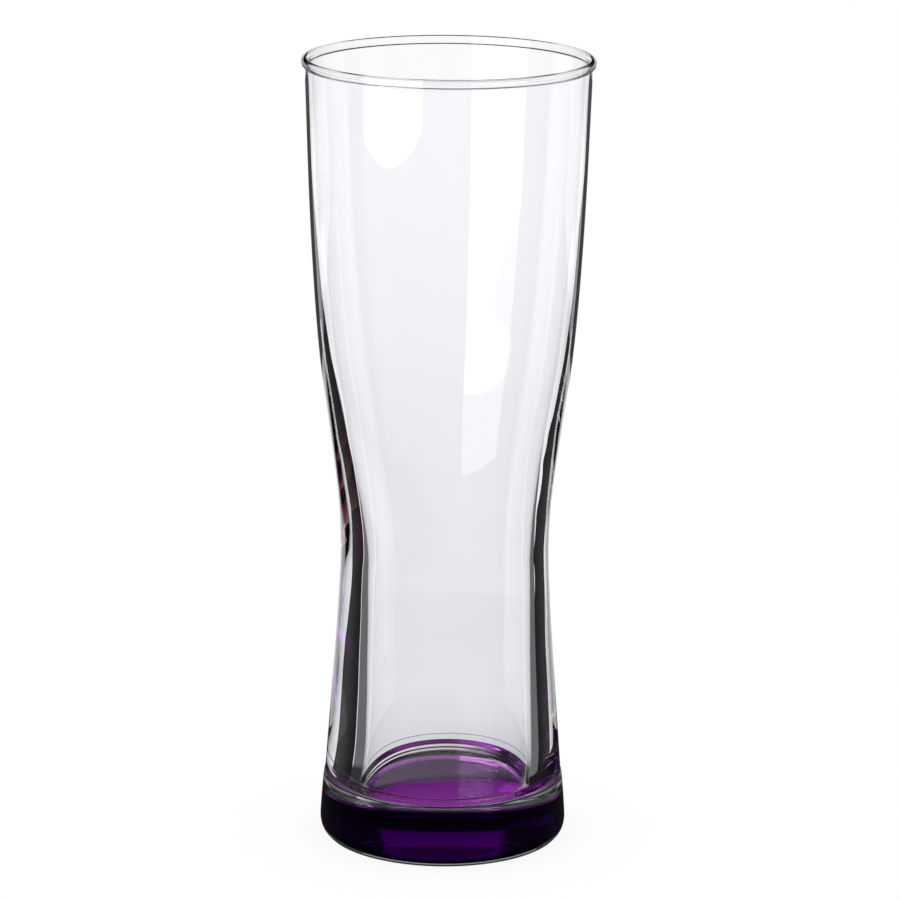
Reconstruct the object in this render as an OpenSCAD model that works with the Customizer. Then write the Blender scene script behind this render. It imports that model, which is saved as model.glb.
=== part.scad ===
// Tall waisted pilsner glass: one piece of clear glass with a beaded rim, a
// wall that thickens towards a heavy foot, and a purple coat under the foot.
// The glass stands on z = 0 with its axis on Z. All lengths are millimetres.

/* [Overall] */
// Height from the table to the top of the rim
glass_h = 215; // [190:1:240]

/* [Rim] */
// Diameter across the outside of the rim bead
rim_d = 78.4; // [72:0.2:86]
// Thickness of the fire-finished bead that closes the rim
rim_bead_d = 2.4; // [1.8:0.1:3.4]
// How far the bead stands out from the wall below it
rim_bead_proud = 1.05; // [0.5:0.05:1.5]
// Radius of the small fillets between the bead and the wall
rim_fillet_r = 0.8; // [0.4:0.1:1.5]
// Thickness of the wall just below the bead
rim_wall = 0.9; // [0.6:0.1:1.6]

/* [Waist] */
// Outside diameter of the narrow waist
waist_d = 56.6; // [52:0.2:62]
// Height of the waist above the table
waist_z = 80; // [70:1:95]
// Thickness of the wall at the waist
waist_wall = 6.1; // [3:0.1:9]

/* [Foot] */
// Outside diameter where the foot is widest
foot_d = 67.4; // [64:0.2:76]
// Height of the widest place, where the rounded heel ends
heel_h = 4.5; // [2:0.1:8]
// How far the rounded heel draws in below the widest place
heel_w = 2.3; // [1:0.1:6]
// Outside diameter at the top of the foot, just below the step line
step_d = 65.5; // [58:0.1:67]
// Height of the step line between the foot and the wall
step_z = 17; // [12:0.5:30]
// Width of the little ledge at the step line
step_ledge = 0.3; // [0.1:0.05:0.6]
// Width of the flat ring that the glass stands on
stand_ring_w = 4.5; // [2:0.5:10]
// Depth of the hollow inside the standing ring
recess_depth = 1.75; // [0.4:0.05:3]

/* [Cavity] */
// Thickness of the wall just above the floor of the cavity
floor_wall = 9; // [6:0.1:12]
// Height of the floor of the cavity above the table
floor_z = 14.3; // [8:0.1:24]
// Radius of the rounded corner at the edge of the floor
floor_corner_r = 0.6; // [0.3:0.1:3]
// How far the middle of the floor lies below its edge
floor_dish = 0.4; // [0.1:0.1:2]
// Height above the floor at which the shoulder round the floor leaves the wall
shoulder_h = 3; // [2.2:0.1:6]
// Height above the floor at which the shoulder ends
shoulder_low_h = 2; // [1.5:0.1:2.2]
// How far the shoulder stands in from the wall
shoulder_w = 1.4; // [0.4:0.1:3]
// Width of the thin lip round the floor, below the shoulder
lip_w = 0.3; // [0.1:0.1:1]

/* [Coat] */
// Thickness of the purple coat under the foot
coat_t = 0.2; // [0.1:0.05:0.4]
// How far round the heel the coat climbs, where 90 is the widest place
coat_edge_angle = 10; // [10:5:80]

/* [Hidden] */

// Facets round the axis
round_fn = 180;
// Straight pieces along the wall, the foot's side and each quarter of an arc
wall_steps = 48;
foot_steps = 6;
arc_steps = 8;
shoulder_steps = 20;
// Distance of the outermost flat of the standing ring from the axis
stand_r = foot_d / 2 - heel_w;
recess_r = stand_r - stand_ring_w;
body_r = step_d / 2 - step_ledge;
// The ledge turns in with one small radius and up with another
ledge_r = step_ledge / 2;
ledge_x = step_d / 2 - ledge_r;
wall_bottom = step_z + ledge_r;
// The rim bead's centre, and the wall's outer radius below the bead
bead_r = rim_bead_d / 2;
bead_x = rim_d / 2 - bead_r;
bead_z = glass_h - bead_r;
rim_wall_r = rim_d / 2 - rim_bead_proud;

// The fillets between the bead and the wall: how far the wall's face lies from
// the bead's centre line, and the height at which the fillet meets that face
function fillet_drop(dx) = sqrt(pow(bead_r + rim_fillet_r, 2) - pow(dx + rim_fillet_r, 2));
outer_fillet_dx = rim_wall_r - bead_x;
outer_fillet_z = bead_z - fillet_drop(outer_fillet_dx);
inner_fillet_dx = bead_x - (rim_wall_r - rim_wall);
inner_fillet_z = bead_z - fillet_drop(inner_fillet_dx);

// The wall's outline between its three driving places: shares of the height
// from the waist, and of the growth in radius, upwards and then downwards
flare_height_shares = [0.11, 0.25, 0.43, 0.68];
flare_growth_shares = [0.06, 0.29, 0.61, 0.84];
taper_height_shares = [0.22, 0.48];
taper_growth_shares = [0.14, 0.40];
// Top and bottom of the lip, as shares of the height at which the shoulder ends
lip_height_shares = [0.7, 0.5];
// Powers of the foot's gently bulging side and of the two wall thickness laws
foot_side_power = 1.25;
upper_wall_power = 2;
lower_wall_power = 1.6;

// Outline stations as [height, radius], from the step line up to the bead
stations = concat(
    [[wall_bottom, body_r]],
    [for (i = [len(taper_height_shares) - 1:-1:0])
        [waist_z - taper_height_shares[i] * (waist_z - wall_bottom),
         waist_d / 2 + taper_growth_shares[i] * (body_r - waist_d / 2)]],
    [[waist_z, waist_d / 2]],
    [for (i = [0:len(flare_height_shares) - 1])
        [waist_z + flare_height_shares[i] * (outer_fillet_z - waist_z),
         waist_d / 2 + flare_growth_shares[i] * (rim_wall_r - waist_d / 2)]],
    [[outer_fillet_z, rim_wall_r]]);
last = len(stations) - 1;

// Slope of the outline at station i, and the smooth outline's radius at height z
function station_slope(i) =
    let (a = stations[max(i - 1, 0)], b = stations[min(i + 1, last)])
    (b[1] - a[1]) / (b[0] - a[0]);
function outer_r(z) =
    let (i = max(concat([0], [for (k = [0:last - 1]) if (stations[k][0] <= z) k])),
         p = stations[i],
         q = stations[i + 1],
         h = q[0] - p[0],
         t = min(max((z - p[0]) / h, 0), 1),
         u = 1 - t)
    (1 + 2 * t) * u * u * p[1] + t * u * u * h * station_slope(i)
    + t * t * (3 - 2 * t) * q[1] - t * t * u * h * station_slope(i + 1);

// Thickness of the wall at height z: thin at the rim, heavy towards the floor
function wall_at(z) =
    z > waist_z
        ? rim_wall + (waist_wall - rim_wall)
            * pow(max(outer_fillet_z - z, 0) / (outer_fillet_z - waist_z), upper_wall_power)
        : floor_wall - (floor_wall - waist_wall)
            * pow((z - floor_z) / (waist_z - floor_z), lower_wall_power);
function inner_r(z) = outer_r(z) - wall_at(z);

// Points of an elliptical arc about [x, z] from angle a to angle b, without the
// first one, which ends the stretch before it
function arc(x, z, rx, rz, a, b, steps = arc_steps) =
    [for (i = [1:steps]) let (w = a + (b - a) * i / steps) [x + rx * cos(w), z + rz * sin(w)]];

// The underside from the axis out to the end of the coat, drop below the glass
function underside(drop) = concat(
    [for (i = [0:arc_steps]) let (s = i / arc_steps)
        [recess_r * s, coat_t - drop + recess_depth * (1 - s * s)]],
    [[stand_r, coat_t - drop]],
    arc(stand_r, heel_h, heel_w + drop, heel_h - coat_t + drop, -90, coat_edge_angle - 90));

// The rest of the heel, the foot's side and the ledge at the step line
function foot_side() = concat(
    arc(stand_r, heel_h, heel_w, heel_h - coat_t, coat_edge_angle - 90, 0),
    [for (i = [1:foot_steps]) let (s = i / foot_steps)
        [foot_d / 2 - (foot_d - step_d) / 2 * pow(s, foot_side_power),
         heel_h + (step_z - ledge_r - heel_h) * s]],
    arc(ledge_x, step_z - ledge_r, ledge_r, ledge_r, 0, 90),
    arc(ledge_x, wall_bottom, ledge_r, ledge_r, -90, -180));

function outer_wall() =
    [for (i = [1:wall_steps])
        let (z = wall_bottom + (outer_fillet_z - wall_bottom) * i / wall_steps)
        [outer_r(z), z]];

// The fillet outside the bead, the bead itself and the fillet inside it
function rim_bead() =
    let (outer_tilt = acos((outer_fillet_dx + rim_fillet_r) / (bead_r + rim_fillet_r)),
         inner_tilt = acos((inner_fillet_dx + rim_fillet_r) / (bead_r + rim_fillet_r)))
    concat(
        arc(rim_wall_r + rim_fillet_r, outer_fillet_z, rim_fillet_r, rim_fillet_r,
            180, 180 - outer_tilt),
        arc(bead_x, bead_z, bead_r, bead_r, -outer_tilt, 180 + inner_tilt, 4 * arc_steps),
        arc(rim_wall_r - rim_wall - rim_fillet_r, inner_fillet_z, rim_fillet_r, rim_fillet_r,
            inner_tilt, 0));

// How far the shoulder and the lip stand in from the wall at height h above the floor
function smooth_share(h, top, low) =
    let (t = min(max((top - h) / (top - low), 0), 1)) t * t * (3 - 2 * t);
function corner_inset(h) =
    shoulder_w * smooth_share(h, shoulder_h, shoulder_low_h)
    + lip_w * smooth_share(h, lip_height_shares[0] * shoulder_low_h, lip_height_shares[1] * shoulder_low_h);
function corner_r(z) = inner_r(z) - corner_inset(z - floor_z);

function inner_wall() =
    let (top = inner_fillet_z, middle = floor_z + shoulder_h, bottom = floor_z + floor_corner_r)
    concat(
        [for (i = [1:wall_steps]) let (z = top + (middle - top) * i / wall_steps) [inner_r(z), z]],
        [for (i = [1:shoulder_steps])
            let (z = middle + (bottom - middle) * i / shoulder_steps) [corner_r(z), z]]);

function cavity_floor() =
    let (x = corner_r(floor_z + floor_corner_r) - floor_corner_r)
    concat(
        arc(x, floor_z + floor_corner_r, floor_corner_r, floor_corner_r, 0, -90),
        [for (i = [1:arc_steps]) let (s = 1 - i / arc_steps)
            [x * s, floor_z - floor_dish * (1 - s * s)]]);

// The clear glass, from the rim down to the underside, as one turned shape
module glass_body() {
    color([0.9, 0.93, 0.92, 0.35])
    rotate_extrude($fn = round_fn)
    polygon(concat(underside(0), foot_side(), outer_wall(), rim_bead(), inner_wall(), cavity_floor()));
}

// The translucent purple coat, which follows the underside face to face
module base_colour_coat() {
    glass_face = underside(0);
    color([0.3, 0.05, 0.55, 0.8])
    rotate_extrude($fn = round_fn)
    polygon(concat(underside(coat_t), [for (i = [len(glass_face) - 1:-1:0]) glass_face[i]]));
}

glass_body();
base_colour_coat();
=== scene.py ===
"""A tall waisted pilsner glass with a purple foot.

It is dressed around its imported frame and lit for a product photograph.
"""
import math

import bmesh
import bpy
from mathutils import Matrix, Vector


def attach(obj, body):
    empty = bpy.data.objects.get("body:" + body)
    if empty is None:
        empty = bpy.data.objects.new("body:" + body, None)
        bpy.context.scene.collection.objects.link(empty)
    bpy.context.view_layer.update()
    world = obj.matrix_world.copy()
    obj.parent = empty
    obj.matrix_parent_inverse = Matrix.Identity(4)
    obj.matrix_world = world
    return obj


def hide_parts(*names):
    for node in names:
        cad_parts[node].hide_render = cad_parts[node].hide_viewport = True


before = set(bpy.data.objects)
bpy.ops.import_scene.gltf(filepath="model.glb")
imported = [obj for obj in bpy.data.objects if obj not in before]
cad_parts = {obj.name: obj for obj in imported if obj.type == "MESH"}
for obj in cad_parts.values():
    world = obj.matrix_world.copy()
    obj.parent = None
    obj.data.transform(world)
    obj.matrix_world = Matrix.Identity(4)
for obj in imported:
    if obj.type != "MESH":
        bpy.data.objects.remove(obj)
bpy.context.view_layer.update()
scene = bpy.context.scene

MM = 0.001

# Sizes of the glass, in millimetres and degrees, as in the part's source
GLASS_H = 215.0
RIM_D = 78.4
RIM_BEAD_D = 2.4
RIM_BEAD_PROUD = 1.05
RIM_FILLET_R = 0.8
RIM_WALL = 0.9
WAIST_D = 56.6
WAIST_Z = 80.0
WAIST_WALL = 6.1
FOOT_D = 67.4
HEEL_H = 4.5
HEEL_W = 2.3
STEP_D = 65.5
STEP_Z = 17.0
STEP_LEDGE = 0.3
STAND_RING_W = 4.5
RECESS_DEPTH = 1.75
FLOOR_WALL = 9.0
FLOOR_Z = 14.3
FLOOR_CORNER_R = 0.6
FLOOR_DISH = 0.4
SHOULDER_H = 3.0
SHOULDER_LOW_H = 2.0
SHOULDER_W = 1.4
LIP_W = 0.3
COAT_T = 0.2
COAT_EDGE_ANGLE = 10.0
# The wall's outline between its driving places: shares of the height and of the growth in radius
FLARE_HEIGHT_SHARES = (0.11, 0.25, 0.43, 0.68)
FLARE_GROWTH_SHARES = (0.06, 0.29, 0.61, 0.84)
TAPER_HEIGHT_SHARES = (0.22, 0.48)
TAPER_GROWTH_SHARES = (0.14, 0.40)
# Top and bottom of the lip, as shares of the height at which the shoulder ends
LIP_HEIGHT_SHARES = (0.7, 0.5)
# Powers of the foot's gently bulging side and of the two laws of the wall's thickness
FOOT_SIDE_POWER = 1.25
UPPER_WALL_POWER = 2.0
LOWER_WALL_POWER = 1.6

# Mesh density: points round the axis, then along each stretch of the outline
AROUND = 256
WALL_STEPS = 120
FOOT_STEPS = 14
ARC_STEPS = 12
LEDGE_ARC_STEPS = 6
BEAD_STEPS = 4 * ARC_STEPS
RECESS_STEPS = 3 * ARC_STEPS
RING_STEPS = 4
FLOOR_STEPS = 16
# Closer points beside the ledge: shares of the foot's side, and heights above the wall's bottom
FOOT_TOP_SHARES = (0.97, 0.99, 1.0)
WALL_START_RISES = (0.1, 0.3, 0.7)
# The close points round the cavity's floor: how far above the shoulder they start, and their spacing
CORNER_MARGIN = 1.0
CORNER_STEP = 0.06
# A point nearer to the axis than this is on it
AXIS_R = 1e-6

# Gap that keeps the coat's skin just inside the skin of the glass
SKIN_GAP = 0.006

STAND_R = FOOT_D / 2 - HEEL_W
RECESS_R = STAND_R - STAND_RING_W
BODY_R = STEP_D / 2 - STEP_LEDGE
WAIST_R = WAIST_D / 2
LEDGE_R = STEP_LEDGE / 2
LEDGE_X = STEP_D / 2 - LEDGE_R
WALL_BOTTOM = STEP_Z + LEDGE_R
BEAD_R = RIM_BEAD_D / 2
BEAD_X = RIM_D / 2 - BEAD_R
BEAD_Z = GLASS_H - BEAD_R
RIM_WALL_R = RIM_D / 2 - RIM_BEAD_PROUD


def fillet_drop(dx):
    """Height from the bead's centre down to where a fillet meets the wall."""
    return math.sqrt((BEAD_R + RIM_FILLET_R) ** 2 - (dx + RIM_FILLET_R) ** 2)


OUTER_DX = RIM_WALL_R - BEAD_X
INNER_DX = BEAD_X - (RIM_WALL_R - RIM_WALL)
OUTER_FILLET_Z = BEAD_Z - fillet_drop(OUTER_DX)
INNER_FILLET_Z = BEAD_Z - fillet_drop(INNER_DX)


def wall_stations():
    """Driving places of the outside as (height, radius), from the step line up to the bead."""
    places = [(WALL_BOTTOM, BODY_R)]
    for height, growth in reversed(list(zip(TAPER_HEIGHT_SHARES, TAPER_GROWTH_SHARES))):
        z = WAIST_Z - height * (WAIST_Z - WALL_BOTTOM)
        places.append((z, WAIST_R + growth * (BODY_R - WAIST_R)))
    places.append((WAIST_Z, WAIST_R))
    for height, growth in zip(FLARE_HEIGHT_SHARES, FLARE_GROWTH_SHARES):
        z = WAIST_Z + height * (OUTER_FILLET_Z - WAIST_Z)
        places.append((z, WAIST_R + growth * (RIM_WALL_R - WAIST_R)))
    return places + [(OUTER_FILLET_Z, RIM_WALL_R)]


STATIONS = wall_stations()
LAST = len(STATIONS) - 1


def station_slope(i):
    """Slope of the outline at station i."""
    (za, ra), (zb, rb) = STATIONS[max(i - 1, 0)], STATIONS[min(i + 1, LAST)]
    return (rb - ra) / (zb - za)


def smooth_between(t, h, a, b, slope_a, slope_b):
    """Cubic from a to b over the height h, at the share t of it, with a slope at each end."""
    u = 1 - t
    return ((1 + 2 * t) * u * u * a + t * u * u * h * slope_a
            + t * t * (3 - 2 * t) * b - t * t * u * h * slope_b)


def outer_r(z):
    """Radius of the outside at height z, on a smooth curve through the stations."""
    i = max([0] + [k for k in range(LAST) if STATIONS[k][0] <= z])
    (za, ra), (zb, rb) = STATIONS[i], STATIONS[i + 1]
    t = min(max((z - za) / (zb - za), 0), 1)
    return smooth_between(t, zb - za, ra, rb, station_slope(i), station_slope(i + 1))


def smooth_curve(table, z):
    """Value at height z of a smooth curve through a table of (height, value)."""
    z = min(max(z, table[0][0]), table[-1][0])
    last = len(table) - 1
    i = max(k for k in range(last) if table[k][0] <= z)

    def slope(j):
        if j in (0, last):
            return 0.0
        return (table[j + 1][1] - table[j - 1][1]) / (table[j + 1][0] - table[j - 1][0])

    (za, a), (zb, b) = table[i], table[i + 1]
    return smooth_between((z - za) / (zb - za), zb - za, a, b, slope(i), slope(i + 1))


# The wall is thinner than the plain law between the step line and the bowl, as (height, change)
WALL_CHANGE = [
    (17.0, 0.0), (24.0, -0.15), (36.0, -0.4), (50.0, -0.58), (64.0, -0.55), (80.0, -0.3), (94.0, -0.17),
    (108.0, 0.0), (215.0, 0.0),
]


def wall_at(z):
    """Thickness of the wall at height z: thin at the rim, heavy towards the floor."""
    if z > WAIST_Z:
        share = max(OUTER_FILLET_Z - z, 0) / (OUTER_FILLET_Z - WAIST_Z)
        plain = RIM_WALL + (WAIST_WALL - RIM_WALL) * share ** UPPER_WALL_POWER
    else:
        share = (z - FLOOR_Z) / (WAIST_Z - FLOOR_Z)
        plain = FLOOR_WALL - (FLOOR_WALL - WAIST_WALL) * share ** LOWER_WALL_POWER
    return plain + smooth_curve(WALL_CHANGE, z)


def inner_r(z):
    """Radius of the inside at height z."""
    return outer_r(z) - wall_at(z)


# The shoulder and the lip round the cavity's floor, as (top, bottom, width), heights above the floor
CORNER = [
    (SHOULDER_H, SHOULDER_LOW_H, SHOULDER_W),
    (LIP_HEIGHT_SHARES[0] * SHOULDER_LOW_H, LIP_HEIGHT_SHARES[1] * SHOULDER_LOW_H, LIP_W),
]


def corner_inset(h):
    """How far the shoulder and the lip stand in from the wall at height h above the floor."""
    inset = 0.0
    for top, low, width in CORNER:
        t = min(max((top - h) / (top - low), 0), 1)
        inset += width * t * t * (3 - 2 * t)
    return inset


def spaced(start, end, steps):
    """Even heights from start to end, without start."""
    return [start + (end - start) * i / steps for i in range(1, steps + 1)]


def arc(x, z, rx, rz, a, b, steps=ARC_STEPS):
    """Points of an elliptical arc from angle a to angle b, without the first."""
    angles = [math.radians(angle) for angle in spaced(a, b, steps)]
    return [(x + rx * math.cos(w), z + rz * math.sin(w)) for w in angles]


def underside(coat):
    """The underside from the axis to the end of the coat, with coat left under it."""
    hollow = []
    for i in range(RECESS_STEPS + 1):
        share = i / RECESS_STEPS
        hollow.append((RECESS_R * share, coat + RECESS_DEPTH * (1 - share ** 2)))
    ring = [(RECESS_R + (STAND_R - RECESS_R) * i / RING_STEPS, coat) for i in range(1, RING_STEPS + 1)]
    drop = COAT_T - coat
    return hollow + ring + arc(STAND_R, HEEL_H, HEEL_W + drop, HEEL_H - coat, -90, COAT_EDGE_ANGLE - 90)


def foot_side():
    """The rest of the heel, the foot's side and the ledge at the step line."""
    points = arc(STAND_R, HEEL_H, HEEL_W, HEEL_H - COAT_T, COAT_EDGE_ANGLE - 90, 0)
    side_h = STEP_Z - LEDGE_R - HEEL_H
    for share in [i / FOOT_STEPS for i in range(1, FOOT_STEPS)] + list(FOOT_TOP_SHARES):
        draw_in = (FOOT_D - STEP_D) / 2 * share ** FOOT_SIDE_POWER
        points.append((FOOT_D / 2 - draw_in, HEEL_H + side_h * share))
    points += arc(LEDGE_X, STEP_Z - LEDGE_R, LEDGE_R, LEDGE_R, 0, 90, LEDGE_ARC_STEPS)
    return points + arc(LEDGE_X, WALL_BOTTOM, LEDGE_R, LEDGE_R, -90, -180, LEDGE_ARC_STEPS)


def outer_wall():
    """The outside of the wall, from the ledge up to the bead's fillet."""
    heights = [WALL_BOTTOM + rise for rise in WALL_START_RISES]
    heights += spaced(WALL_BOTTOM, OUTER_FILLET_Z, WALL_STEPS)
    return [(outer_r(z), z) for z in heights]


def rim_bead():
    """The fillet outside the bead, the bead itself and the fillet inside it."""
    reach = BEAD_R + RIM_FILLET_R
    outer_tilt = math.degrees(math.acos((OUTER_DX + RIM_FILLET_R) / reach))
    inner_tilt = math.degrees(math.acos((INNER_DX + RIM_FILLET_R) / reach))
    outer_x = RIM_WALL_R + RIM_FILLET_R
    inner_x = RIM_WALL_R - RIM_WALL - RIM_FILLET_R
    return (arc(outer_x, OUTER_FILLET_Z, RIM_FILLET_R, RIM_FILLET_R, 180, 180 - outer_tilt)
            + arc(BEAD_X, BEAD_Z, BEAD_R, BEAD_R, -outer_tilt, 180 + inner_tilt, BEAD_STEPS)
            + arc(inner_x, INNER_FILLET_Z, RIM_FILLET_R, RIM_FILLET_R, inner_tilt, 0))


def inner_wall():
    """The inside of the wall, down to the rounded corner at the edge of the floor."""
    bottom = FLOOR_Z + SHOULDER_H + CORNER_MARGIN
    corner_top = FLOOR_Z + FLOOR_CORNER_R
    points = [(inner_r(z), z) for z in spaced(INNER_FILLET_Z, bottom, WALL_STEPS)]
    for z in spaced(bottom, corner_top, int((bottom - corner_top) / CORNER_STEP)):
        points.append((inner_r(z) - corner_inset(z - FLOOR_Z), z))
    return points


def cavity_floor(corner_x):
    """The rounded corner about corner_x and the dished floor, in to the axis."""
    points = arc(corner_x, FLOOR_Z + FLOOR_CORNER_R, FLOOR_CORNER_R, FLOOR_CORNER_R, 0, -90)
    for i in range(1, FLOOR_STEPS + 1):
        share = 1 - i / FLOOR_STEPS
        points.append((corner_x * share, FLOOR_Z - FLOOR_DISH * (1 - share ** 2)))
    return points


def glass_outline():
    """The glass from the axis underneath to the axis in the cavity, and where the cavity starts."""
    outside = underside(0.0) + foot_side() + outer_wall() + rim_bead()
    inside = inner_wall()
    inside += cavity_floor(inside[-1][0] - FLOOR_CORNER_R)
    return outside + inside, len(outside)


# How far the cavity lies off the axis to the right, as (height, shift), as in many blown glasses
CAVITY_SHIFT = [
    (14.3, 0.2), (17.0, 0.6), (24.0, 0.95), (36.0, 1.0), (50.0, 0.93), (64.0, 0.9), (80.0, 0.75),
    (94.0, 0.38), (108.0, 0.1), (122.0, 0.05), (136.0, 0.0), (215.0, 0.0),
]


def turned(name, outline, first_inner=None):
    """A closed solid of revolution from an outline that starts and ends on the axis."""
    mesh = bmesh.new()
    rings = []
    for i, (r, z) in enumerate(outline):
        inside = first_inner is not None and i >= first_inner
        dx = smooth_curve(CAVITY_SHIFT, z) if inside else 0.0
        if r < AXIS_R:
            rings.append([mesh.verts.new((dx * MM, 0, z * MM))])
            continue
        ring = []
        for k in range(AROUND):
            a = 2 * math.pi * k / AROUND
            ring.append(mesh.verts.new(((r * math.cos(a) + dx) * MM, r * math.sin(a) * MM, z * MM)))
        rings.append(ring)
    for low, high in zip(rings, rings[1:]):
        for k in range(AROUND):
            n = (k + 1) % AROUND
            if len(low) == 1:
                mesh.faces.new((low[0], high[n], high[k]))
            elif len(high) == 1:
                mesh.faces.new((low[k], low[n], high[0]))
            else:
                mesh.faces.new((low[k], low[n], high[n], high[k]))
    bmesh.ops.recalc_face_normals(mesh, faces=mesh.faces)
    for face in mesh.faces:
        face.smooth = True
    data = bpy.data.meshes.new(name)
    mesh.to_mesh(data)
    mesh.free()
    obj = bpy.data.objects.new(name, data)
    scene.collection.objects.link(obj)
    return obj


def new_material(name):
    """An empty node material: the material, its tree and its output node."""
    material = bpy.data.materials.new(name)
    material.use_nodes = True
    tree = material.node_tree
    tree.nodes.clear()
    return material, tree, tree.nodes.new("ShaderNodeOutputMaterial")


def dielectric(name, ior, absorbed, density):
    """Clear glass or lacquer: a polished surface round a volume that absorbs."""
    material, tree, output = new_material(name)
    surface = tree.nodes.new("ShaderNodeBsdfPrincipled")
    surface.inputs["Base Color"].default_value = (1, 1, 1, 1)
    surface.inputs["Roughness"].default_value = 0.0
    surface.inputs["IOR"].default_value = ior
    surface.inputs["Transmission Weight"].default_value = 1.0
    volume = tree.nodes.new("ShaderNodeVolumeAbsorption")
    volume.inputs["Color"].default_value = (*absorbed, 1)
    volume.inputs["Density"].default_value = density
    tree.links.new(surface.outputs[0], output.inputs["Surface"])
    tree.links.new(volume.outputs[0], output.inputs["Volume"])
    return material


# The glass is faintly green grey, as soda-lime glass is through its thick foot
GLASS_IOR = 1.52
GLASS_COLOUR = (0.40, 0.72, 0.66)
GLASS_DENSITY = 1.6
clear_glass = dielectric("clear_glass", GLASS_IOR, GLASS_COLOUR, GLASS_DENSITY)

# The lacquer lets red and blue through and stops green. Its skin lies inside the skin of the glass
# and doesn't bend light, so the two act as one body.
COAT_IOR = 1.0
COAT_DEPTH = (0.40, 1.5, 0.28)
coat_sigma = [depth / ((COAT_T - SKIN_GAP) * MM) for depth in COAT_DEPTH]
coat_density = max(coat_sigma)
coat_colour = tuple(1 - sigma / coat_density for sigma in coat_sigma)
purple_coat = dielectric("purple_coat", COAT_IOR, coat_colour, coat_density)

glass = turned("glass_body_polished", *glass_outline())
glass.data.materials.append(clear_glass)
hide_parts("glass_body")
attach(glass, "root")

# The film thins out from this radius to the outside of the standing ring, as a sprayed coat does, to
# a share of its thickness
FILM_FULL_R = 23.0
FILM_EDGE_SHARE = 0.06


def film_outline():
    """The coat's lower face and, back to the axis, its upper face."""
    lower = underside(SKIN_GAP)
    upper = []
    for r, z in lower:
        t = min(max((r - FILM_FULL_R) / (STAND_R - FILM_FULL_R), 0), 1)
        thickness = (COAT_T - SKIN_GAP) * (1 - (1 - FILM_EDGE_SHARE) * t * t * (3 - 2 * t))
        upper.append((r, z + thickness))
    return lower + upper[::-1]


coat = turned("base_coat_film", film_outline())
coat.data.materials.append(purple_coat)
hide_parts("base_colour_coat")
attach(coat, "root")

# Camera: distance from the axis, height and sideways place in millimetres, pitch and roll in
# degrees, sensor and lens in millimetres, all from the photograph's perspective
CAMERA_D = 1113.3
CAMERA_Z = 391.0
CAMERA_X = 1.2
CAMERA_PITCH = 14.273
CAMERA_ROLL = 0.509
CAMERA_SENSOR = 36.0
CAMERA_LENS = 169.9
camera_data = bpy.data.cameras.new("camera")
camera_data.sensor_width = CAMERA_SENSOR
camera_data.lens = CAMERA_LENS
camera = bpy.data.objects.new("camera", camera_data)
scene.collection.objects.link(camera)
tilt = Matrix.Rotation(math.radians(90 - CAMERA_PITCH), 4, "X")
roll = Matrix.Rotation(math.radians(CAMERA_ROLL), 4, "Z")
camera.matrix_world = Matrix.Translation(Vector((CAMERA_X, -CAMERA_D, CAMERA_Z)) * MM) @ tilt @ roll
scene.camera = camera

DEGREES = 180 / math.pi
WHITE = (1.0, 1.0, 1.0)


def math_node(tree, operation, a, b=None):
    """A math node on two sockets or numbers."""
    made = tree.nodes.new("ShaderNodeMath")
    made.operation = operation
    for socket, value in zip(made.inputs, (a, b)):
        if hasattr(value, "links"):
            tree.links.new(value, socket)
        elif value is not None:
            socket.default_value = value
    return made.outputs[0]


def soft_step(tree, value, low, high):
    """0 below low, 1 above high, smooth between."""
    made = tree.nodes.new("ShaderNodeMapRange")
    made.interpolation_type = "SMOOTHSTEP"
    tree.links.new(value, made.inputs["Value"])
    made.inputs["From Min"].default_value = low
    made.inputs["From Max"].default_value = high
    return made.outputs[0]


def band(tree, value, low, high, soft):
    """1 from low to high, with soft edges."""
    falls = math_node(tree, "SUBTRACT", 1.0, soft_step(tree, value, high - soft, high + soft))
    return math_node(tree, "MULTIPLY", soft_step(tree, value, low - soft, low + soft), falls)


def ramp(tree, value, stops):
    """A colour that changes evenly between stops of (value, colour)."""
    made = tree.nodes.new("ShaderNodeValToRGB")
    place = tree.nodes.new("ShaderNodeMapRange")
    low, high = stops[0][0], stops[-1][0]
    tree.links.new(value, place.inputs["Value"])
    place.inputs["From Min"].default_value = low
    place.inputs["From Max"].default_value = high
    tree.links.new(place.outputs[0], made.inputs[0])
    while len(made.color_ramp.elements) < len(stops):
        made.color_ramp.elements.new(0.5)
    for element, (at, colour) in zip(made.color_ramp.elements, stops):
        element.position = (at - low) / (high - low)
        element.color = (*colour, 1)
    return made.outputs[0]


def tinted(levels, tint=WHITE):
    """Stops of one colour for a ramp, from a table of (value, level)."""
    return [(at, tuple(level * part for part in tint)) for at, level in levels]


def separate(tree, place):
    """The node that splits a place or direction into X, Y and Z."""
    made = tree.nodes.new("ShaderNodeSeparateXYZ")
    tree.links.new(place, made.inputs[0])
    return made


def azimuth_of(tree, place):
    """Azimuth of a place or direction in degrees: 0 straight behind the glass, more to the right."""
    parts = separate(tree, place)
    turn = math_node(tree, "ARCTAN2", parts.outputs["X"], parts.outputs["Y"])
    return math_node(tree, "MULTIPLY", turn, DEGREES)


def elevation_of(tree, direction):
    """Elevation of a direction in degrees."""
    rise = math_node(tree, "ARCSINE", separate(tree, direction).outputs["Z"])
    return math_node(tree, "MULTIPLY", rise, DEGREES)


def distance_from_axis(tree, place):
    """Distance in millimetres from the origin of a flat piece of the studio, which is on the axis."""
    length = tree.nodes.new("ShaderNodeVectorMath")
    length.operation = "LENGTH"
    tree.links.new(place, length.inputs[0])
    return math_node(tree, "MULTIPLY", length.outputs["Value"], 1 / MM)


def place_on(tree):
    """Where a ray meets a piece of the studio, in that piece's own coordinates."""
    return tree.nodes.new("ShaderNodeTexCoord").outputs["Object"]


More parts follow.
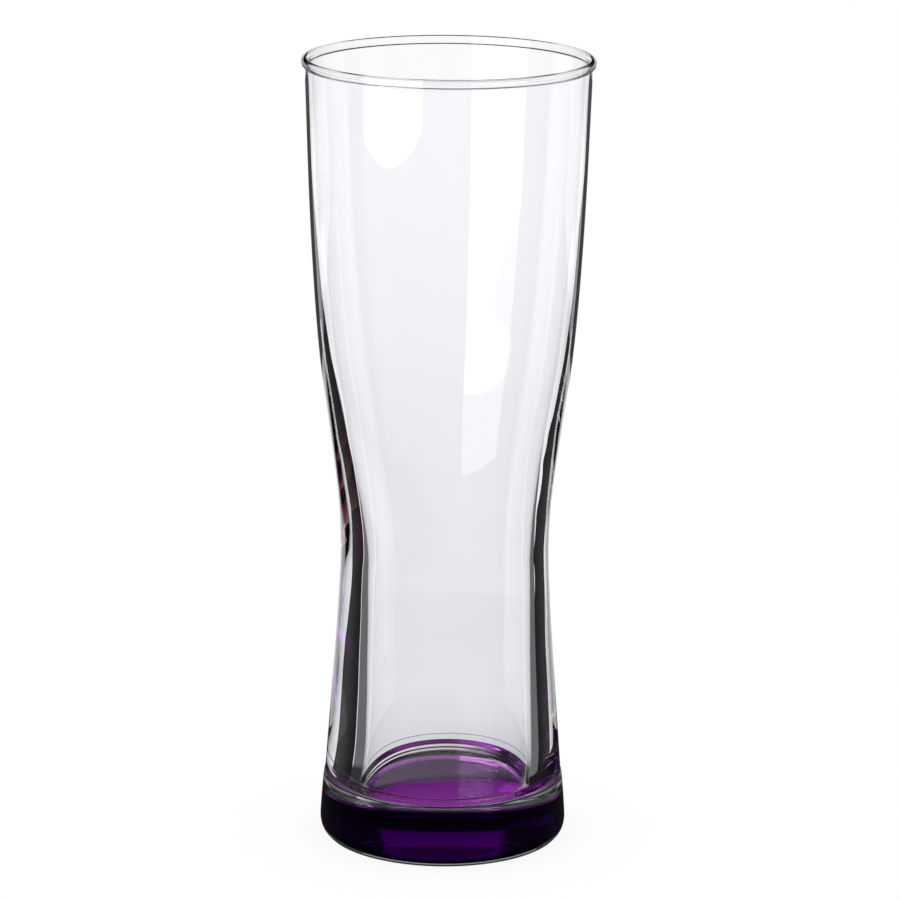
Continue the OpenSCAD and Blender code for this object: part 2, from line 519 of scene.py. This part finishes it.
def mix_shaders(tree, share, first, second):
    """The first shader where share is 0, and the second where it is 1."""
    made = tree.nodes.new("ShaderNodeMixShader")
    for socket, source in zip(made.inputs, (share, first, second)):
        tree.links.new(source, socket)
    return made.outputs[0]


def ray_kinds(tree, path):
    """Masks for how a ray has come through the glass, from a Light Path node.

    through: past the cavity, with no reflection inside the glass. other: past the cavity, with one
    or more. wall: within one wall. once: within one wall, with one reflection at most. open: within
    one wall with none, as through the open mouth and then one wall.
    """
    direct = math_node(tree, "LESS_THAN", path.outputs["Glossy Depth"], 0.5)
    wall = math_node(tree, "LESS_THAN", path.outputs["Transmission Depth"], 2.5)
    beyond = math_node(tree, "SUBTRACT", 1.0, wall)
    through = math_node(tree, "MULTIPLY", direct, beyond)
    other = math_node(tree, "SUBTRACT", beyond, through)
    once = math_node(tree, "MULTIPLY", wall, math_node(tree, "LESS_THAN", path.outputs["Glossy Depth"], 1.5))
    open_way = math_node(tree, "MULTIPLY", wall, direct)
    return {"all": 1.0, "through": through, "other": other, "wall": wall, "once": once, "open": open_way}


# Studio: what the glass sees round it, by direction, with angles in degrees
world = bpy.data.worlds.new("studio")
scene.world = world
world.use_nodes = True
wt = world.node_tree
wt.nodes.clear()
direction = wt.nodes.new("ShaderNodeTexCoord").outputs["Generated"]
azimuth = azimuth_of(wt, direction)
elevation = elevation_of(wt, direction)
path = wt.nodes.new("ShaderNodeLightPath")
kinds = ray_kinds(wt, path)

# Bright fields round the glass: azimuth from, to, elevation from, to, softness in azimuth and in
# elevation, level, and the rays that see it. A negative level takes part of the fields before it away
# again, and stays inside them: those two leave the grey strips beside the dark ones in the walls.
FIELDS = [
    (-85, 85, -38, 5, 2.0, 2.0, 1.0, "other"),
    (-200, 200, -40, 8, 2.0, 2.0, 1.0, "through"),
    (-36, 36, -44, -12, 2.0, 2.0, 1.1, "once"),
    (-112, 82, -12.5, -1, 2.0, 2.0, 0.85, "open"),
    (-112, 82, -1, 8, 2.0, 2.0, 0.25, "open"),
    (-72, -36, -44, -16.5, 2.0, 1.0, 1.1, "once"),
    (36, 72, -44, -16.5, 2.0, 1.0, 1.1, "once"),
    (-70, -48, -44, -16.5, 0.6, 1.0, -0.97, "once"),
    (45, 70, -44, -16.5, 0.6, 1.0, -0.97, "once"),
    (-21, 21, 19, 40, 2.0, 1.0, 0.43, "all"),
    (-200, 200, 40, 95, 2.0, 6.0, 0.07, "all"),
]
# What is left where no field is
ROOM = 0.035
# Brightness of the white ground by elevation, and over all: it falls off towards the glass, as a painted
# shade of the glass on the ground
GROUND = [
    (-27.0, 0.94), (-22.0, 0.91), (-20.6, 0.868), (-20.1, 0.856), (-19.4, 0.882), (-17.5, 0.918),
    (-15.9, 0.946), (-13.6, 0.978), (-12.2, 0.994), (-10.0, 1.0),
]
GROUND_LEVEL = 1.06
# The white paper seen through the glass is a little cool
PAPER_TINT = (0.985, 0.988, 1.03)
# The fields that reflections off the glass see, at a level of 1: azimuth from, to, elevation from, to
SHINE = [(-38, 38, -16.8, 8), (-65, -38, -15.0, -11), (38, 65, -15.0, -11)]
SHINE_SOFT_AZ = 2.0
SHINE_SOFT_EL = 0.6
SHINE_ROOM = 0.008


def field(az0, az1, el0, el1, soft_az, soft_el):
    """1 in a field of the world's directions, with soft edges."""
    across = band(wt, azimuth, az0, az1, soft_az)
    return math_node(wt, "MULTIPLY", across, band(wt, elevation, el0, el1, soft_el))


def background(colour, strength=None):
    """A background of one colour, with a strength of 1 or from a socket."""
    made = wt.nodes.new("ShaderNodeBackground")
    made.inputs["Color"].default_value = (*colour, 1)
    if strength is not None:
        wt.links.new(strength, made.inputs["Strength"])
    return made.outputs[0]


total = ROOM
for *edges, level, seen_by in FIELDS:
    mask = math_node(wt, "MULTIPLY", field(*edges), kinds[seen_by])
    total = math_node(wt, "ADD", math_node(wt, "MULTIPLY", mask, level), total)
total = math_node(wt, "MULTIPLY", total, ramp(wt, elevation, tinted(GROUND)))
total = math_node(wt, "MULTIPLY", total, GROUND_LEVEL)
seen_through = background(PAPER_TINT, total)

shine = SHINE_ROOM
for edges in SHINE:
    shine = math_node(wt, "ADD", field(*edges, SHINE_SOFT_AZ, SHINE_SOFT_EL), shine)
reflected = background(WHITE, shine)

# The camera itself sees plain white paper
studio = mix_shaders(wt, path.outputs["Is Transmission Ray"], reflected, seen_through)
studio = mix_shaders(wt, path.outputs["Is Camera Ray"], studio, background(WHITE))
world_output = wt.nodes.new("ShaderNodeOutputWorld")
wt.links.new(studio, world_output.inputs["Surface"])


def glowing(name, strength=1.0, seen_by=None):
    """A glowing material, clear to all but one kind of ray where seen_by names it."""
    material, tree, output = new_material(name)
    glow = tree.nodes.new("ShaderNodeEmission")
    glow.inputs["Strength"].default_value = strength
    shown = glow.outputs[0]
    if seen_by is not None:
        share = ray_kinds(tree, tree.nodes.new("ShaderNodeLightPath"))[seen_by]
        shown = mix_shaders(tree, share, tree.nodes.new("ShaderNodeBsdfTransparent").outputs[0], shown)
    tree.links.new(shown, output.inputs["Surface"])
    return material, tree, glow


def stage_piece(name, points, faces, material, place=(0.0, 0.0, 0.0)):
    """A piece of the studio, with its points and its place in millimetres."""
    mesh = bpy.data.meshes.new(name)
    mesh.from_pydata([(x * MM, y * MM, z * MM) for x, y, z in points], [], faces)
    mesh.materials.append(material)
    obj = bpy.data.objects.new(name, mesh)
    obj.location = Vector(place) * MM
    scene.collection.objects.link(obj)
    return obj


def seen_by_rays(obj, camera=False, diffuse=False, glossy=False, transmission=False, shadow=False):
    """Say which rays a piece of the studio shows to."""
    obj.visible_camera = camera
    obj.visible_diffuse = diffuse
    obj.visible_glossy = glossy
    obj.visible_transmission = transmission
    obj.visible_shadow = shadow


def upright(x0, x1, low, high):
    """Corners of an upright rectangle that faces the camera."""
    return [(x0, 0, low), (x1, 0, low), (x1, 0, high), (x0, 0, high)]


def round_points(radius, sides, z=0.0):
    """Points on a level circle about the axis."""
    turns = [2 * math.pi * k / sides for k in range(sides)]
    return [(radius * math.cos(a), radius * math.sin(a), z) for a in turns]


RECTANGLE = [(0, 1, 2, 3)]

# Two dark cards behind the glass that only light inside one wall picks up. Each outline, as (sideways,
# height), goes in along the bottom edge, up the side near the glass and down the far side.
CARD_Y = 134.0
CARDS = {
    "card_left": [
        (-180, -130), (-37, -130), (-37, -12), (-48, 0), (-66, 7), (-80, 14), (-80, 35), (-76, 50),
        (-88, 82), (-78, 95), (-38, 101), (-38, 186), (-100, 186), (-98, 150), (-110, 124), (-118, 97),
        (-136, 71), (-150, 50), (-168, 20), (-180, -4),
    ],
    "card_right": [
        (174, -130), (57, -130), (57, -14), (60, -2), (54, 14), (56, 27), (52, 38), (66, 47), (80, 56),
        (80, 76), (74, 92), (38, 101), (38, 186), (98, 186), (93, 150), (110, 126), (106, 102), (114, 80),
        (122, 56), (122, 40), (140, 20), (174, -4),
    ],
}
# Level of the two cards by distance from the middle plane
CARD_LEVELS = [(40.0, 0.05), (75.0, 0.05), (100.0, 0.035), (135.0, 0.02), (165.0, 0.012)]

for name, outline in CARDS.items():
    material, tree, glow = glowing(name, seen_by="wall")
    sideways = math_node(tree, "ABSOLUTE", separate(tree, place_on(tree)).outputs["X"])
    sideways = math_node(tree, "MULTIPLY", sideways, 1 / MM)
    tree.links.new(ramp(tree, sideways, tinted(CARD_LEVELS)), glow.inputs["Color"])
    corners = [(x, 0, z) for x, z in outline]
    card = stage_piece(name, corners, [tuple(range(len(corners)))], material, (0, CARD_Y, 0))
    seen_by_rays(card, transmission=True)

# A bright sleeve round the bowl that only rays through the open mouth and then one wall see
SLEEVE_R = 120.0
SLEEVE_LOW = 118.0
SLEEVE_HIGH = 300.0
SLEEVE_SIDES = 72
SLEEVE_LEVEL = 1.04
sleeve_points = round_points(SLEEVE_R, SLEEVE_SIDES, SLEEVE_LOW)
sleeve_points += round_points(SLEEVE_R, SLEEVE_SIDES, SLEEVE_HIGH)
sleeve_faces = []
for k in range(SLEEVE_SIDES):
    n = (k + 1) % SLEEVE_SIDES
    sleeve_faces.append((k, n, n + SLEEVE_SIDES, k + SLEEVE_SIDES))
material, *_ = glowing("sleeve", SLEEVE_LEVEL, seen_by="open")
sleeve = stage_piece("sleeve", sleeve_points, sleeve_faces, material)
seen_by_rays(sleeve, transmission=True)

# Dark cards just behind those two, as (sideways from, to, height from, to, level), that only
# reflections pick up: beside the foot and the waist, below the floor, and beside the bowl, where the
# cards are lighter so that the bowl's edge is a grey line
SIDE_CARD_GAP = 1.0
SIDE_CARDS = {
    "side_card_left": (-430.0, -130.0, -14.0, 92.0, 0.02),
    "side_card_right": (130.0, 430.0, -14.0, 92.0, 0.02),
    "low_card": (-430.0, 430.0, -200.0, -14.0, 0.02),
    "bowl_card_left": (-112.0, -36.0, 92.0, 186.0, 0.1),
    "bowl_card_right": (38.0, 112.0, 92.0, 186.0, 0.1),
}
for name, (x0, x1, low, high, level) in SIDE_CARDS.items():
    material, *_ = glowing(name, level)
    place = (0, CARD_Y + SIDE_CARD_GAP, 0)
    side_card = stage_piece(name, upright(x0, x1, low, high), RECTANGLE, material, place)
    seen_by_rays(side_card, glossy=True)

# The softbox stands to the left of the camera and faces the glass
SOFTBOX_AZIMUTH = math.radians(-135.0)
SOFTBOX_DISTANCE = 600.0
SOFTBOX_W = 560.0
SOFTBOX_LOW = 50.0
SOFTBOX_HIGH = 900.0
SOFTBOX_STRENGTH = 2.5
material, *_ = glowing("softbox_left", SOFTBOX_STRENGTH)
softbox_x = math.sin(SOFTBOX_AZIMUTH) * SOFTBOX_DISTANCE
softbox_y = math.cos(SOFTBOX_AZIMUTH) * SOFTBOX_DISTANCE
softbox_corners = upright(-SOFTBOX_W / 2, SOFTBOX_W / 2, 0.0, SOFTBOX_HIGH - SOFTBOX_LOW)
place = (softbox_x, softbox_y, SOFTBOX_LOW)
softbox = stage_piece("softbox_left", softbox_corners, RECTANGLE, material, place)
softbox.rotation_euler = (0, 0, -SOFTBOX_AZIMUTH)
seen_by_rays(softbox, diffuse=True, glossy=True, transmission=True)

# Floor: white paper with the foot's faint shadow, as levels by distance from the axis. The glass
# doesn't reflect or refract it, because the studio and the discs below stand in for it there.
FLOOR_HALF = 6000.0
FOOT_SHADOW = [(30.0, 0.92), (35.0, 0.95), (42.0, 0.98), (56.0, 0.993), (80.0, 1.0)]
material, tree, glow = glowing("floor")
radius = distance_from_axis(tree, place_on(tree))
tree.links.new(ramp(tree, radius, tinted(FOOT_SHADOW)), glow.inputs["Color"])
floor_corners = [(-FLOOR_HALF, -FLOOR_HALF, 0), (FLOOR_HALF, -FLOOR_HALF, 0),
                 (FLOOR_HALF, FLOOR_HALF, 0), (-FLOOR_HALF, FLOOR_HALF, 0)]
floor = stage_piece("floor", floor_corners, RECTANGLE, material)
seen_by_rays(floor, camera=True, diffuse=True, shadow=True)

DISC_SIDES = 96


def disc(name, radius, z, material):
    """A flat round piece of the studio that only rays through the glass can see."""
    face = tuple(range(DISC_SIDES))
    made = stage_piece(name, round_points(radius, DISC_SIDES), [face], material, (0, 0, z))
    seen_by_rays(made, transmission=True)


# The paper beside the foot as the glass shows it, by distance from the axis: dark at the foot and lighter
# further off, a painted shadow of the foot with faint painted violet light in it.
# It is bright behind the glass, within an azimuth to both sides, and dim elsewhere, as painted light.
NEAR_R = 60.0
NEAR_Z = -0.3
NEAR_FLOOR = [
    (33.0, (0.0, 0.0, 0.0)), (36.0, (0.02, 0.018, 0.02)), (42.0, (0.11, 0.07, 0.11)),
    (50.0, (0.25, 0.2, 0.25)), (60.0, (0.30, 0.29, 0.30)),
]
NEAR_AZIMUTH = 22.0
NEAR_SOFT = 9.0
NEAR_REST = 0.05
material, tree, glow = glowing("near_floor")
place = place_on(tree)
tree.links.new(ramp(tree, distance_from_axis(tree, place), NEAR_FLOOR), glow.inputs["Color"])
behind = band(tree, azimuth_of(tree, place), -NEAR_AZIMUTH, NEAR_AZIMUTH, NEAR_SOFT)
tree.links.new(math_node(tree, "ADD", behind, NEAR_REST), glow.inputs["Strength"])
disc("near_floor", NEAR_R, NEAR_Z, material)

# The paper further off, seen straight through both walls: levels by distance from the axis
SHADE_R = 200.0
SHADE_Z = -0.4
PAPER_SHADE = [
    (56.0, 0.55), (66.0, 0.70), (76.0, 0.79), (90.0, 0.865), (112.0, 0.92), (175.0, 0.92), (200.0, 0.932),
]
material, tree, glow = glowing("paper_shade", seen_by="through")
radius = distance_from_axis(tree, place_on(tree))
tree.links.new(ramp(tree, radius, tinted(PAPER_SHADE, PAPER_TINT)), glow.inputs["Color"])
disc("paper_shade", SHADE_R, SHADE_Z, material)

# The paper right under the foot, lit through the coat. Light that is reflected more than once on its
# way down the wall finds it dimmer and warmer.
UNDER_R = 31.0
UNDER_Z = -0.2
PAPER_LIT = (0.78, 0.28, 0.9)
PAPER_LIT_LEVEL = 0.45
PAPER_PIPED = (0.22, 0.12, 0.08)
material, tree, glow = glowing("under_paper")
bounces = tree.nodes.new("ShaderNodeLightPath")
tint = tree.nodes.new("ShaderNodeMix")
tint.data_type = "RGBA"
tree.links.new(math_node(tree, "LESS_THAN", bounces.outputs["Glossy Depth"], 1.5), tint.inputs["Factor"])
tint.inputs[6].default_value = (*PAPER_PIPED, 1)
tint.inputs[7].default_value = (*(PAPER_LIT_LEVEL * part for part in PAPER_LIT), 1)
tree.links.new(tint.outputs[2], glow.inputs["Color"])
disc("under_paper", UNDER_R, UNDER_Z, material)

# Light passes many faces of clear glass, so it may bend and reflect often
BOUNCES = 24
scene.view_settings.view_transform = "Standard"
scene.cycles.max_bounces = BOUNCES
scene.cycles.transmission_bounces = BOUNCES
scene.cycles.glossy_bounces = BOUNCES
scene.cycles.transparent_max_bounces = BOUNCES
scene.cycles.blur_glossy = 0.0
scene.cycles.sample_clamp_indirect = 0.0
scene.cycles.use_denoising = True
